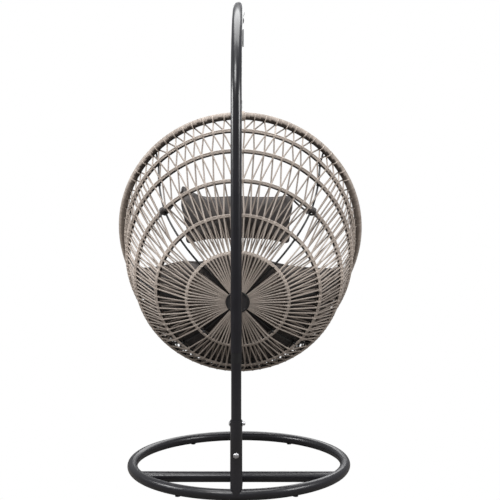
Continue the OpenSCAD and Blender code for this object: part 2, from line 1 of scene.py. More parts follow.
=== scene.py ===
import bpy
import numpy as np
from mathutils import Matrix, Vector


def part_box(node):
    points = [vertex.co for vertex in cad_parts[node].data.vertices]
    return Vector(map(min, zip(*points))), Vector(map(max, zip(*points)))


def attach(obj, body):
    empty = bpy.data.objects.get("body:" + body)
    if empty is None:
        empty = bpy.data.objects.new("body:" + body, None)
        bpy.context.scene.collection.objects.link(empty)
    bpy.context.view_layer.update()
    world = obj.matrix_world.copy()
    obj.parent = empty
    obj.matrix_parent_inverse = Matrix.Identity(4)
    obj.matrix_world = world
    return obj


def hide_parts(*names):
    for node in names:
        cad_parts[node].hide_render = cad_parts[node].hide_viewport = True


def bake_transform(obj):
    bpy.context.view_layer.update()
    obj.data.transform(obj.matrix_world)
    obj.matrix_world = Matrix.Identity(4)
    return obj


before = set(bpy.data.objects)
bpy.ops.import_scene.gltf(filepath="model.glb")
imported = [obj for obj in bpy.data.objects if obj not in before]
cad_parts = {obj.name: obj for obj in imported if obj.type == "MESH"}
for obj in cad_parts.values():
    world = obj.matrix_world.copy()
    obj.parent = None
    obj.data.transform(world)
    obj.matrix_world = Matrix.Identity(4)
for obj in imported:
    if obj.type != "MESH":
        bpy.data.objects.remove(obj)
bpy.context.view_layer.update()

# ---------------------------------------------------------------------------
# Studio: a camera behind the chair at the basket's height, five soft lamps,
# a surround that looks white, and a floor that looks white and dims the light
# from below
# ---------------------------------------------------------------------------
scene = bpy.context.scene
scene.view_settings.view_transform = "Standard"

camera_data = bpy.data.cameras.new("camera")
camera_data.sensor_width = 36.0
camera_data.lens = 63.07
camera_data.shift_x = -0.021
camera_data.shift_y = -0.06
camera_data.clip_start = 0.1
camera_data.clip_end = 40.0
camera = bpy.data.objects.new("camera", camera_data)
camera.location = (0.09, -3.693, 1.043)
camera.rotation_euler = (np.pi / 2, 0.0, 0.0)
scene.collection.objects.link(camera)
scene.camera = camera


def area_light(name, place, target, width, height, power):
    """A rectangular lamp at a place, turned towards its target."""
    data = bpy.data.lights.new(name, "AREA")
    data.shape = "RECTANGLE"
    data.size = width
    data.size_y = height
    data.energy = power
    lamp = bpy.data.objects.new(name, data)
    lamp.location = place
    lamp.rotation_euler = (Vector(target) - Vector(place)).to_track_quat("-Z", "Y").to_euler()
    scene.collection.objects.link(lamp)


UPPER_POST = (0.0, -0.445, 1.6)
area_light("left_softbox", (-2.5, -0.5, 1.92), UPPER_POST, 1.2, 0.6, 34.0)
area_light("right_softbox", (2.5, -1.25, 1.95), UPPER_POST, 1.3, 0.6, 34.0)
area_light("rear_softbox", (-1.0, -3.0, 3.6), (0.0, 0.0, 1.3), 1.6, 1.0, 70.0)
area_light("top_softbox", (0.0, 0.0, 3.7), (0.0, 0.0, 0.9), 2.6, 2.2, 92.0)
area_light("open_side_softbox", (0.5, 3.4, 2.4), (0.0, 0.0, 1.1), 2.6, 2.0, 40.0)


class Sock:
    """A value in a node tree. Arithmetic on it adds Math nodes."""

    def __init__(self, tree, socket):
        self.tree = tree
        self.socket = socket

    def __add__(self, other):
        return maths("ADD", self, other)

    def __radd__(self, other):
        return maths("ADD", other, self)

    def __sub__(self, other):
        return maths("SUBTRACT", self, other)

    def __rsub__(self, other):
        return maths("SUBTRACT", other, self)

    def __mul__(self, other):
        return maths("MULTIPLY", self, other)

    def __rmul__(self, other):
        return maths("MULTIPLY", other, self)

    def clip(self):
        """The value cut to between 0 and 1."""
        return maths("MINIMUM", maths("MAXIMUM", self, 0.0), 1.0)

    def step(self, low, high):
        """0 below low, 1 above high, smooth between."""
        inputs = {"Value": self, "From Min": low, "From Max": high}
        return add_node(self.tree, "ShaderNodeMapRange", {"interpolation_type": "SMOOTHSTEP"}, inputs)["Result"]


def feed(target, value):
    """A socket takes a link, or a plain value; a colour may leave out its alpha."""
    if isinstance(value, Sock):
        value.tree.links.new(value.socket, target)
    elif target.type == "RGBA":
        target.default_value = (*value[:3], 1.0)
    else:
        target.default_value = value


def add_node(tree, kind, settings=None, inputs=None):
    """One node: its settings first, then its sockets by name or number. Gives its outputs by name."""
    node = tree.nodes.new(kind)
    for name, value in (settings or {}).items():
        setattr(node, name, value)
    for name, value in (inputs or {}).items():
        feed(node.inputs[name], value)
    return {out.name: Sock(tree, out) for out in node.outputs if out.enabled}


def maths(operation, *values):
    """A Math node on sockets and numbers."""
    tree = next(value.tree for value in values if isinstance(value, Sock))
    return add_node(tree, "ShaderNodeMath", {"operation": operation}, dict(enumerate(values)))["Value"]


WHITE = (1.0, 1.0, 1.0)

# The world lights softly, less from below. The camera sees it white.
world = bpy.data.worlds.new("studio")
world.use_nodes = True
scene.world = world
sky = world.node_tree
sky.nodes.clear()
sky_way = add_node(sky, "ShaderNodeTexCoord")["Generated"]
sky_height = add_node(sky, "ShaderNodeSeparateXYZ", {}, {0: sky_way})["Z"]
sky_power = add_node(sky, "ShaderNodeMapRange", {}, {
    "Value": sky_height, "From Min": -0.6, "From Max": 0.9, "To Min": 0.02, "To Max": 0.48})["Result"]
sky_ray = add_node(sky, "ShaderNodeLightPath")
sky_mix = add_node(sky, "ShaderNodeMixShader", {}, {
    0: maths("MAXIMUM", sky_ray["Is Camera Ray"], sky_ray["Is Transmission Ray"]),
    1: add_node(sky, "ShaderNodeBackground", {}, {"Color": (0.97, 0.98, 1.0), "Strength": sky_power})["Background"],
    2: add_node(sky, "ShaderNodeBackground", {}, {"Color": WHITE, "Strength": 1.0})["Background"]})["Shader"]
add_node(sky, "ShaderNodeOutputWorld", {}, {"Surface": sky_mix})

# The floor is a dull grey-brown to the light, and white to the camera.
bpy.ops.mesh.primitive_plane_add(size=30.0, location=(0.0, 0.0, -0.0005))
floor = bpy.context.object
floor.name = "floor"
floor_paint = bpy.data.materials.new("studio_floor")
floor_paint.use_nodes = True
floor_tree = floor_paint.node_tree
floor_tree.nodes.clear()
floor_mix = add_node(floor_tree, "ShaderNodeMixShader", {}, {
    0: add_node(floor_tree, "ShaderNodeLightPath")["Is Camera Ray"],
    1: add_node(floor_tree, "ShaderNodeBsdfDiffuse", {}, {"Color": (0.20, 0.19, 0.18)})["BSDF"],
    2: add_node(floor_tree, "ShaderNodeEmission", {}, {"Color": WHITE})["Emission"]})["Shader"]
add_node(floor_tree, "ShaderNodeOutputMaterial", {}, {"Surface": floor_mix})
floor.data.materials.append(floor_paint)


# ---------------------------------------------------------------------------
# Stand: base ring, cross bar, spine, socket, post and arch of steel tube, all
# in black powder coat, kept as the CAD made them
# ---------------------------------------------------------------------------
class Material:
    """A Principled material. Its patterns follow Object coordinates or the piece's own attribute."""

    def __init__(self, name):
        self.data = bpy.data.materials.new(name)
        self.data.use_nodes = True
        self.tree = self.data.node_tree
        self.shader = self.tree.nodes["Principled BSDF"]
        self.place = add_node(self.tree, "ShaderNodeTexCoord")["Object"]

    def attribute(self, name, output):
        """A point attribute of the piece's mesh, as a vector or a number."""
        return add_node(self.tree, "ShaderNodeAttribute", {"attribute_name": name})[output]

    def stretched(self, source, scale):
        """Coordinates multiplied by a scale for each direction."""
        return add_node(self.tree, "ShaderNodeVectorMath", {"operation": "MULTIPLY"}, {0: source, 1: scale})["Vector"]

    def noise(self, scale, detail=3.0, rough=0.55, source=None):
        """Noise from 0 to 1, with so many waves in a metre."""
        inputs = {"Scale": scale, "Detail": detail, "Roughness": rough, "Vector": source or self.place}
        return add_node(self.tree, "ShaderNodeTexNoise", {}, inputs)["Fac"]

    def parts(self, source):
        """The three numbers of a vector."""
        return list(add_node(self.tree, "ShaderNodeSeparateXYZ", {}, {0: source}).values())

    def mix(self, share, low, high):
        """The colour low where the share is 0, and high where it is 1."""
        inputs = {"Factor": share, "A": low, "B": high}
        return add_node(self.tree, "ShaderNodeMix", {"data_type": "RGBA"}, inputs)["Result"]

    def set(self, **values):
        """Sockets of the shader, named with _ for each space."""
        for name, value in values.items():
            feed(self.shader.inputs[name.replace("_", " ")], value)
        return self

    def bump(self, height, distance, strength):
        """Tilts the surface as if it stood out by height times distance."""
        inputs = {"Distance": distance, "Strength": strength, "Height": height}
        return self.set(Normal=add_node(self.tree, "ShaderNodeBump", {}, inputs)["Normal"])


def powder_coat(name, dark, light, rough):
    """Satin powder coat: fine orange peel, faint clouding, a little wear in the gloss."""
    coat = Material(name)
    cloud = coat.noise(7.0, 4.0).step(0.35, 0.7)
    peel = coat.noise(900.0, 2.0)
    coat.set(Base_Color=coat.mix(cloud, dark, light), Roughness=rough + 0.10 * coat.noise(60.0, 3.0))
    coat.set(Metallic=0.0, Coat_Weight=0.35, Coat_Roughness=0.16)
    return coat.bump(peel + 0.6 * coat.noise(260.0, 2.0), 0.00012, 0.5)


def dress(material, *names):
    """The material of CAD nodes that stay."""
    for name in names:
        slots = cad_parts[name].data.materials
        slots.clear()
        slots.append(material.data)


stand_paint = powder_coat("stand_paint", (0.008, 0.0076, 0.0105), (0.013, 0.0125, 0.017), 0.28)
dress(stand_paint, "base_ring", "base_cross_bar", "base_spine", "post_socket", "lower_post")
dress(stand_paint, "arch_tube", "arch_eye")

# ---------------------------------------------------------------------------
# Small parts of the stand: zinc-plated bolts, nuts and pin, a moulded plastic
# collar and end cap, and rubber glides under the ring
# ---------------------------------------------------------------------------
zinc = Material("zinc")
zinc.set(Base_Color=zinc.mix(zinc.noise(300.0), (0.50, 0.50, 0.52), (0.70, 0.70, 0.72)))
zinc.set(Metallic=1.0, Roughness=0.28 + 0.18 * zinc.noise(90.0))
zinc.bump(zinc.noise(500.0), 0.0001, 0.4)
dress(zinc, "socket_bolts", "socket_nuts", "gate_pin")

plastic = Material("black_plastic")
plastic.set(Base_Color=plastic.mix(plastic.noise(30.0), (0.004, 0.004, 0.005), (0.009, 0.009, 0.010)))
plastic.set(Roughness=0.48 + 0.1 * plastic.noise(120.0))
plastic.bump(plastic.noise(700.0), 0.0001, 0.6)
dress(plastic, "post_collar", "arch_end_cap")

rubber = Material("glide_rubber")
rubber.set(Base_Color=rubber.mix(rubber.noise(60.0), (0.014, 0.014, 0.014), (0.03, 0.03, 0.03)))
rubber.set(Roughness=0.8 + 0.1 * rubber.noise(200.0))
rubber.bump(rubber.noise(400.0), 0.0002, 0.5)
dress(rubber, "base_glides")

# ---------------------------------------------------------------------------
# Hanger: chain links, snap hook, gate, spring eyes and the basket's eye, of
# steel rod in a dark coat, kept as the CAD made them
# ---------------------------------------------------------------------------
hanger_paint = powder_coat("hanger_coat", (0.016, 0.016, 0.02), (0.035, 0.035, 0.04), 0.32)
dress(hanger_paint, "spring_top_eye", "spring_bottom_eye", "snap_hook", "snap_hook_gate", "rim_eye")
dress(hanger_paint, *[f"chain_link_{number}" for number in range(1, 7)])


# ---------------------------------------------------------------------------
# Spring: one steel wire wound in a helix between its two end plugs, in the
# place of the CAD coil
# ---------------------------------------------------------------------------
def add_piece(name, verts, faces, material, body, extra=None):
    """A smooth mesh at the origin that rides on a body, or on none yet; extra has its point attributes."""
    mesh = bpy.data.meshes.new(name)
    mesh.from_pydata(np.asarray(verts).tolist(), [], faces)
    mesh.update()
    mesh.polygons.foreach_set("use_smooth", np.ones(len(mesh.polygons), bool))
    for key, values in (extra or {}).items():
        values = np.asarray(values, np.float32)
        kind, field = ("FLOAT", "value") if values.ndim == 1 else ("FLOAT_VECTOR", "vector")
        mesh.attributes.new(key, kind, "POINT").data.foreach_set(field, values.ravel())
    mesh.materials.append(material.data)
    piece = bpy.data.objects.new(name, mesh)
    scene.collection.objects.link(piece)
    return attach(piece, body) if body else piece


def unit(vectors):
    """Vectors divided by their own length."""
    return vectors / np.linalg.norm(vectors, axis=-1, keepdims=True)


def sweep(paths, radius, sides, side_way, closed=False, tone=None):
    """Round strands along many paths at once, (strands, points, 3): a circle of points stands across each
    path point, from side_way made square to the path. Gives verts, faces and two attributes: strand is
    the point's place on its strand pulled straight, and tone is the strand's tone with its painted light and shade."""
    paths = np.asarray(paths, float)
    count, rings, _ = paths.shape
    if closed:
        step = np.roll(paths, -1, 1) - np.roll(paths, 1, 1)
    else:
        step = np.gradient(paths, axis=1)
    ahead = unit(step)
    side = np.broadcast_to(side_way, paths.shape)
    side = unit(side - (side * ahead).sum(-1, keepdims=True) * ahead)
    third = np.cross(ahead, side)
    turn = np.arange(sides) / sides * 2 * np.pi
    out = side[:, :, None] * np.cos(turn)[:, None] + third[:, :, None] * np.sin(turn)[:, None]
    verts = paths[:, :, None] + radius * out
    # No two strands start at the same place in the grain.
    grain_offset = 3.7 * np.arange(count)[:, None]
    length = np.linalg.norm(np.diff(paths, axis=1), axis=-1).cumsum(1)
    length = np.concatenate([np.zeros((count, 1)), length], 1) + grain_offset
    straight = np.empty(verts.shape)
    straight[..., 0] = radius * np.cos(turn)
    straight[..., 1] = radius * np.sin(turn)
    straight[..., 2] = length[:, :, None]
    tone = np.zeros(count) if tone is None else tone
    tones = np.broadcast_to(tone[:, None, None], verts.shape[:3])
    spans = np.arange(rings if closed else rings - 1)
    strand_no, ring_no, side_no = np.meshgrid(np.arange(count), spans, np.arange(sides), indexing="ij")

    def at(ring, spot):
        return (strand_no * rings + ring % rings) * sides + spot % sides

    quads = [at(ring_no, side_no), at(ring_no, side_no + 1), at(ring_no + 1, side_no + 1), at(ring_no + 1, side_no)]
    faces = np.stack(quads, -1).reshape(-1, 4).tolist()
    if not closed:
        first = np.arange(count)[:, None] * rings * sides + np.arange(sides)[::-1]
        last = (np.arange(count)[:, None] * rings + rings - 1) * sides + np.arange(sides)
        faces += first.tolist() + last.tolist()
    return verts.reshape(-1, 3), faces, {"strand": straight.reshape(-1, 3), "tone": tones.ravel()}


SPRING_WIRE_R = 0.0025
COIL_TURNS = 13
coil_low, coil_high = [np.array(corner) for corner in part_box("spring_coil")]
coil_mid = (coil_low + coil_high) / 2
coil_radius = (coil_high - coil_low)[0] / 2 - SPRING_WIRE_R
coil_drop = coil_high[2] - coil_low[2] - 2 * SPRING_WIRE_R
coil_share = np.linspace(0.0, 1.0, COIL_TURNS * 28)
coil_turn = 2 * np.pi * COIL_TURNS * coil_share
coil_path = np.stack([
    coil_mid[0] + coil_radius * np.cos(coil_turn),
    coil_mid[1] + coil_radius * np.sin(coil_turn),
    coil_high[2] - SPRING_WIRE_R - coil_share * coil_drop,
], -1)
coil_verts, coil_faces, _ = sweep([coil_path], SPRING_WIRE_R, 12, (0.0, 0.0, 1.0))
spring = add_piece("spring", coil_verts, coil_faces, hanger_paint, None)
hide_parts("spring_coil")
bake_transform(spring)

# ---------------------------------------------------------------------------
# Basket rings: hub ring, five hoops and rim of black coated steel, kept as
# the CAD made them, and a grey coated plate welded in the hub ring
# ---------------------------------------------------------------------------
frame_paint = powder_coat("frame_coat", (0.007, 0.007, 0.008), (0.015, 0.015, 0.017), 0.40)
plate_paint = powder_coat("plate_coat", (0.026, 0.025, 0.027), (0.042, 0.040, 0.043), 0.45)
RINGS = ["hub_ring", "hoop_1", "hoop_2", "hoop_3", "hoop_4", "hoop_5", "rim_tube"]
dress(frame_paint, *RINGS)
dress(plate_paint, "hub_plate")

# The rings are numbered k, from the hub to the rim, and a is an angle on a ring.
HUB = 0
RIM = 6
RING_NO = np.arange(7.0)
HOOPS = range(1, 6)
ROD = np.array([0.005, 0.004, 0.004, 0.004, 0.004, 0.004, 0.0125])
ring_corners = np.array([[np.array(corner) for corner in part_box(name)] for name in RINGS])
ring_mid = ring_corners.mean(1)
ring_half = (ring_corners[:, 1] - ring_corners[:, 0]) / 2
ring_radius = ring_half[:, 0] - ROD
lean = np.arctan2(ring_half[RIM, 1] - ROD[RIM], ring_half[RIM, 2] - ROD[RIM])
REAR = np.array([0.0, -np.cos(lean), -np.sin(lean)])
TOP = np.pi / 2


def spoke(a):
    """Unit direction from a ring's middle to its rod at angle a; 90 degrees is the top."""
    return np.stack([np.cos(a), -np.sin(a) * np.sin(lean), np.sin(a) * np.cos(lean)], -1)


def along_ring(a):
    """Unit direction of a ring's rod at angle a."""
    return np.stack([-np.sin(a), -np.cos(a) * np.sin(lean), np.cos(a) * np.cos(lean)], -1)


def on_ring(k, a, out=0.0, rear=0.0):
    """Ring k's middle plus its radius times the spoke, moved outward in the ring's plane and to the rear.
    Between two rings, middle and radius are shared out evenly."""
    k, a, out, rear = np.broadcast_arrays(k, a, out, rear)
    middle = np.stack([np.interp(k, RING_NO, ring_mid[:, axis]) for axis in range(3)], -1)
    radius = np.interp(k, RING_NO, ring_radius)
    return middle + (radius + out)[..., None] * spoke(a) + rear[..., None] * REAR


def run_of(k, a):
    """Unit direction in the basket's skin from the hub to the rim."""
    return unit(on_ring(np.minimum(RIM, k + 0.5), a) - on_ring(np.maximum(HUB, k - 0.5), a))


def inward(k, a):
    """Unit direction square to the basket's skin, to its inside: the ring's way crossed with the run."""
    k, a = np.broadcast_arrays(np.asarray(k, float), np.asarray(a, float))
    return unit(np.cross(along_ring(a), run_of(k, a)))


# ---------------------------------------------------------------------------
# Ribs: eight black steel rods bent from the hub ring to the rim, lying on the
# inner side of every hoop
# ---------------------------------------------------------------------------
def smooth_curve(points, steps):
    """A Catmull-Rom curve through the points: each span is a cubic of its two ends and their neighbours."""
    p = np.concatenate([[2 * points[0] - points[1]], points, [2 * points[-1] - points[-2]]])
    t = np.linspace(0, 1, steps, endpoint=False)[:, None]
    spans = []
    for before, start, end, after in zip(p[:-3], p[1:-2], p[2:-1], p[3:]):
        square = 2 * before - 5 * start + 4 * end - after
        cubic = 3 * start - before - 3 * end + after
        spans.append(0.5 * (2 * start + (end - before) * t + square * t**2 + cubic * t**3))
    return np.concatenate([*spans, points[-1:]])


RIB_R = 0.004
RIB_GAP = 0.00005
RIB_ANGLES = np.radians(np.arange(0, 360, 45))
rib_off = (ROD + RIB_R + RIB_GAP)[:, None]
rib_paths = [smooth_curve(on_ring(RING_NO, a) + rib_off * inward(RING_NO, a), 10) for a in RIB_ANGLES]
rib_verts, rib_faces, _ = sweep(rib_paths, RIB_R, 12, (0.3, 0.9, 0.2))
ribs = add_piece("rib_rods", rib_verts, rib_faces, frame_paint, "basket")
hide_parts("ribs")


# ---------------------------------------------------------------------------
# Rib welds: a coated lump of weld where each rib crosses a hoop, bare of
# strand, a flattened ball round both rods
# ---------------------------------------------------------------------------
def closed_grid(points, first, last):
    """Rings of points between two poles, as closed faces that point outward."""
    rings, around, _ = points.shape
    verts = np.concatenate([first[None], points.reshape(-1, 3), last[None]])
    ring_no, spot = np.meshgrid(np.arange(rings - 1), np.arange(around), indexing="ij")
    here = 1 + ring_no * around + spot
    beside = 1 + ring_no * around + (spot + 1) % around
    quads = np.stack([here, beside, beside + around, here + around], -1).reshape(-1, 4)
    spot = np.arange(around)
    next_spot = (spot + 1) % around
    foot = np.stack([np.zeros_like(spot), 1 + next_spot, 1 + spot], -1)
    end = 1 + (rings - 1) * around
    head = np.stack([np.full_like(spot, end + around), end + spot, end + next_spot], -1)
    return verts, quads.tolist() + foot.tolist() + head.tolist()


WELD_R = 0.0085
WELD_DEPTH = 0.0135
WELD_IN = 0.0035
weld_belt = np.radians(np.arange(0, 360, 30))[:, None]
weld_height = np.radians(np.arange(-60, 61, 30))[:, None, None]
weld_verts = []
weld_faces = []
for k in HOOPS:
    for a in RIB_ANGLES:
        deep = WELD_DEPTH * inward(k, a)
        core = on_ring(k, a) + WELD_IN * inward(k, a)
        girdle = WELD_R * (np.cos(weld_belt) * along_ring(a) + np.sin(weld_belt) * run_of(k, a))
        lump = core + np.cos(weld_height) * girdle - np.sin(weld_height) * deep
        lump_verts, lump_faces = closed_grid(lump, core + deep, core - deep)
        offset = len(weld_verts) * len(lump_verts)
        weld_faces += [[corner + offset for corner in face] for face in lump_faces]
        weld_verts.append(lump_verts)
welds = add_piece("rib_welds", np.concatenate(weld_verts), weld_faces, frame_paint, "basket")

# ---------------------------------------------------------------------------
# Weave: round greige polyethylene strand, run from ring to ring in a rear and
# a front layer, closer on the sides, with a third set in the lower half painted dark as shade
# ---------------------------------------------------------------------------
strand = Material("woven_strand")
strand_place = strand.attribute("strand", "Vector")
strand_tone = strand.attribute("tone", "Fac")
grain = strand.noise(1.0, 3.0, 0.6, strand.stretched(strand_place, (900.0, 900.0, 26.0)))
streak = strand.noise(1.0, 2.0, 0.5, strand.stretched(strand_place, (260.0, 260.0, 5.0)))
patch = strand.noise(9.0, 3.0)
light = 0.55 + 0.55 * (streak - 0.5) + 0.35 * (grain - 0.5) + 0.5 * (patch - 0.5) + strand_tone
# A tone below about -0.5 is painted shade: strand on a shaded inner side is painted dull dark brown.
painted_shade = (-0.9 * strand_tone - 0.45).clip()
bright = strand.mix(light.clip(), (0.21, 0.172, 0.145), (0.63, 0.55, 0.485))
strand.set(Base_Color=strand.mix(painted_shade, bright, (0.045, 0.034, 0.027)), Roughness=0.50 + 0.2 * grain)
strand.bump(grain + 0.5 * streak, 0.0003, 0.7)

rng = np.random.default_rng(5)
STRAND_R = 0.0032
PER_BAY = 9
COUNT = 8 * PER_BAY
PITCH_ANGLE = 2 * np.pi / COUNT
NUMBER = np.arange(COUNT)
evenly = (NUMBER + 0.5) * 2 * np.pi / COUNT
# windings[k] has the angles at which strand is wound round ring k.
windings = [evenly + rng.normal(0, np.radians(0.35), COUNT) for _ in RING_NO]
# On the hub and the first two hoops the strands keep gaps at the ribs, widest at the diagonal
# ones. A gap is a share of the bay between two ribs, for the ribs at 0, 45, 90 and 135 degrees.
GAPS = np.array([0.05, 0.165, 0.12, 0.165])


def bays(gaps):
    """The angles of the strands in eight bays, even between the gaps."""
    ends = [(bay + gaps[bay % 4], bay + 1 - gaps[(bay + 1) % 4]) for bay in range(8)]
    return np.concatenate([np.linspace(low, high, PER_BAY) for low, high in ends]) * np.pi / 4


windings[0] = bays(GAPS)
windings[1] = bays(GAPS) + rng.normal(0, np.radians(0.3), COUNT)
windings[2] = bays(0.03 + 0.6 * GAPS) + rng.normal(0, np.radians(0.3), COUNT)

# Places beside a ring, as (outward, to the rear) in metres, for the rear layer and the front
# one: a strand leaves the ring's outer side, crosses the next ring's rod and is tucked in.
BACK = 1
FRONT = -1
HUB_LEAVE = {BACK: (0.006, -0.001), FRONT: (0.004, -0.006)}
LEAVE = {BACK: (0.0088, 0.0035), FRONT: (0.0088, -0.001)}
CROSS = {BACK: (-0.002, 0.0086), FRONT: (-0.002, -0.0072)}
TUCK = {BACK: (0.006, 0.0066), FRONT: (0.005, -0.003)}
RIM_CROSS = {BACK: (-0.0152, 0.0088), FRONT: (-0.0144, -0.0102)}
RIM_TUCK = {BACK: (-0.008, 0.0135), FRONT: (-0.008, -0.0135)}
# The six zones' tones, with painted shade: the front layer darker, as in the shade of the rear one, and the rear
# layer in zones 3 and 4 darker too.
TONE = {BACK: (-0.06, -0.06, -0.10, -0.22, -0.24, -0.10),
        FRONT: (-0.34, -0.28, -0.34, -0.44, -0.46, -0.50)}
# A strand runs straight out, or leans by one winding away from the top on either side.
SHIFT = {BACK: (0, 0, 0, 1, 1, 0), FRONT: (0, 1, 1, 0, 0, 1)}
# The sides are where a spoke's share across is above this.
SIDE = 0.72
away = np.where(np.cos(evenly) < 0, 1, -1)


def painted_light_by_height(z):
    """Painted light and shade on the strand: paler beside the seat's upper edge, where light falls in, and darker
    above it.
    """
    return np.interp(z, (0.70, 0.83, 0.90, 0.96, 1.05), (0.0, 0.30, 0.34, 0.04, -0.17))


def strand_set(zone, layer, a, b, tone):
    """Strands of one layer from ring zone at the angles a to the next ring at the angles b: a straight
    line with a slight bow, begun beside the first ring and tucked in behind the second."""
    last = zone + 1 == RIM
    start = on_ring(zone, a, *(HUB_LEAVE if zone == HUB else LEAVE)[layer])
    cross = on_ring(zone + 1, b, *(RIM_CROSS if last else CROSS)[layer])
    tuck = on_ring(zone + 1, b, *(RIM_TUCK if last else TUCK)[layer])
    share = np.linspace(0, 1, 8)
    line = start[:, None] * (1 - share)[:, None] + cross[:, None] * share[:, None]
    bow = np.sin(np.pi * share) * rng.normal(0.0, 0.0008, len(a))[:, None]
    line = line + bow[..., None] * REAR
    root = start - 0.006 * unit(cross - start) - layer * 0.003 * REAR
    path = np.concatenate([root[:, None], line, (cross * 0.5 + tuck * 0.5)[:, None], tuck[:, None]], 1)
    return path, rng.normal(tone, 0.09, len(a)) + painted_light_by_height(line.mean(1)[:, 2])


weave_sets = []
for zone in range(6):
    for layer in (BACK, FRONT):
        shift = SHIFT[layer][zone]
        if zone in (3, 4) and layer == FRONT:
            shift = np.abs(np.cos(evenly)) > SIDE
        goal = NUMBER + shift * away
        if zone in (1, 2):
            # No strand crosses the gap at a rib.
            goal = np.where(goal // PER_BAY == NUMBER // PER_BAY, goal, NUMBER)
        b = windings[zone + 1][goal % COUNT] + 2 * np.pi * (goal // COUNT)
        weave_sets.append(strand_set(zone, layer, windings[zone], b, TONE[layer][zone]))
# On the sides the outer zones have a strand between every two.
between = evenly + PITCH_ANGLE / 2
on_side = np.abs(np.cos(between)) > SIDE
between = between[on_side] + rng.normal(0, np.radians(0.3), on_side.sum())
for zone, shift in ((2, 0), (3, 1), (4, 1)):
    weave_sets.append(strand_set(zone, BACK, between, between + shift * away[on_side] * PITCH_ANGLE, -0.20))
# In the lower half a third set closes the outer zones, painted near black-brown as the deep shade there.
low_a = evenly[np.sin(evenly) < -0.05] + PITCH_ANGLE / 2
for zone in (2, 3, 4, 5):
    low_path = on_ring(zone + np.linspace(0, 1, 11), low_a[:, None], 0.002, -0.0078)
    weave_sets.append((low_path, rng.normal(-0.95, 0.10, len(low_a))))

weave_paths = np.concatenate([path for path, _ in weave_sets])
weave_tones = np.concatenate([tone for _, tone in weave_sets])
verts, faces, extra = sweep(weave_paths, STRAND_R, 8, REAR, tone=weave_tones)
weave = add_piece("weave", verts, faces, strand, "basket", extra)
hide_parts(*[f"weave_{i}" for i in range(1, 7)])

# ---------------------------------------------------------------------------
# Hoop cords: five strands laid along each hoop, under the windings. The one
# on the hoop's inner edge is painted near black-brown as shade
# ---------------------------------------------------------------------------
# Each cord: outward, to the rear, tone. The last cord's low tone is painted shade.
CORDS = ((0.0022, 0.0066, 0.06), (0.0050, 0.0052, 0.10), (0.0096, 0.0030, 0.10), (0.0082, -0.0020, 0.06),
         (-0.0056, -0.0034, -1.25))
CORD_R = 0.0025
whole_turn = np.linspace(0, 2 * np.pi, 361)[:-1]
cord_paths = []
cord_tones = []
for k in HOOPS:
    for out, rear, tone in CORDS:
        drift = 0.0005 * np.sin(whole_turn * 9 + 40 * out + k)
        cord_paths.append(on_ring(k, whole_turn, out + drift, rear - drift))
        cord_tones.append(tone + rng.normal(0, 0.05))
verts, faces, extra = sweep(cord_paths, CORD_R, 8, REAR, closed=True, tone=np.array(cord_tones))
extra["tone"] = extra["tone"] + painted_light_by_height(verts[:, 2])
cord = add_piece("hoop_cords", verts, faces, strand, "basket", extra)

# ---------------------------------------------------------------------------
# Hoop fillers: two more strands on each hoop's inner side, in two arcs below
# the cushion, painted near black-brown as shade where the weave is closed
# ---------------------------------------------------------------------------
FILLER_R = 0.0028
FILLER_ARCS = ((192, 256), (284, 348))
FILLER_PLACES = ((0.0010, -0.0074), (0.0080, -0.0070))
filler_paths = []
for k in HOOPS:
    for start, end in FILLER_ARCS:
        arc = np.radians(np.linspace(start, end, 60))
        filler_paths += [on_ring(k, arc, out, rear) for out, rear in FILLER_PLACES]
filler_shade_tones = rng.normal(-1.2, 0.05, len(filler_paths))
verts, faces, extra = sweep(filler_paths, FILLER_R, 8, REAR, tone=filler_shade_tones)
fill = add_piece("hoop_fillers", verts, faces, strand, "basket", extra)

# ---------------------------------------------------------------------------
# Windings: each strand goes round its hoop and the cords on it, one and a
# half turns, before it crosses to the next hoop
# ---------------------------------------------------------------------------
LOOP_R = 0.0024
LOOP_OUT = 0.0030
LOOP_REAR = 0.0012
LOOP_WIDTH = 0.0068


def squarish(value):
    """A sine or cosine made a little fuller, for a loop that is flat on four sides."""
    return np.sign(value) * np.abs(value) ** 0.8


loop_turn = np.linspace(0, 2 * np.pi * 1.6, 26)
loop_out = LOOP_OUT + 0.0080 * squarish(np.cos(loop_turn))
loop_rear = LOOP_REAR + 0.0074 * squarish(np.sin(loop_turn)) - 0.16 * (loop_out - LOOP_OUT)
loop_paths = []
for k in HOOPS:
    a = np.concatenate([windings[k], between]) if k > 2 else windings[k]
    width = (loop_turn / loop_turn[-1] - 0.5) * LOOP_WIDTH / ring_radius[k]
    loop_paths.append(on_ring(k, a[:, None] + width, loop_out, loop_rear))
loop_paths = np.concatenate(loop_paths)
loop_tones = rng.normal(0.02, 0.09, len(loop_paths))
verts, faces, extra = sweep(loop_paths, LOOP_R, 6, (0.1, 0.9, 0.3), tone=loop_tones)
extra["tone"] = extra["tone"] + painted_light_by_height(verts[:, 2])
loop = add_piece("windings", verts, faces, strand, "basket", extra)
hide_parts(*[f"binding_{i}" for i in range(1, 6)])

# ---------------------------------------------------------------------------
# Rim roll: strand wound side by side round the whole rim tube. It is light
# outside; painted shade makes it browner inside, darker higher up, and dark between the bars in the upper part, where
# it also stands in for bare dark tube
# ---------------------------------------------------------------------------
TURN_PITCH = 0.0052
TURN_STEPS = 3
ROUND_STEPS = 33
ROLL_T = 0.0031
ROLL_RIDGE = 0.0006
ROLL_GAP = 0.0003
turns = int(round(2 * np.pi * ring_radius[RIM] / TURN_PITCH))
roll_rings = turns * TURN_STEPS
a = np.arange(roll_rings)[:, None] / roll_rings * 2 * np.pi
phase = (np.arange(roll_rings)[:, None] % TURN_STEPS) / TURN_STEPS
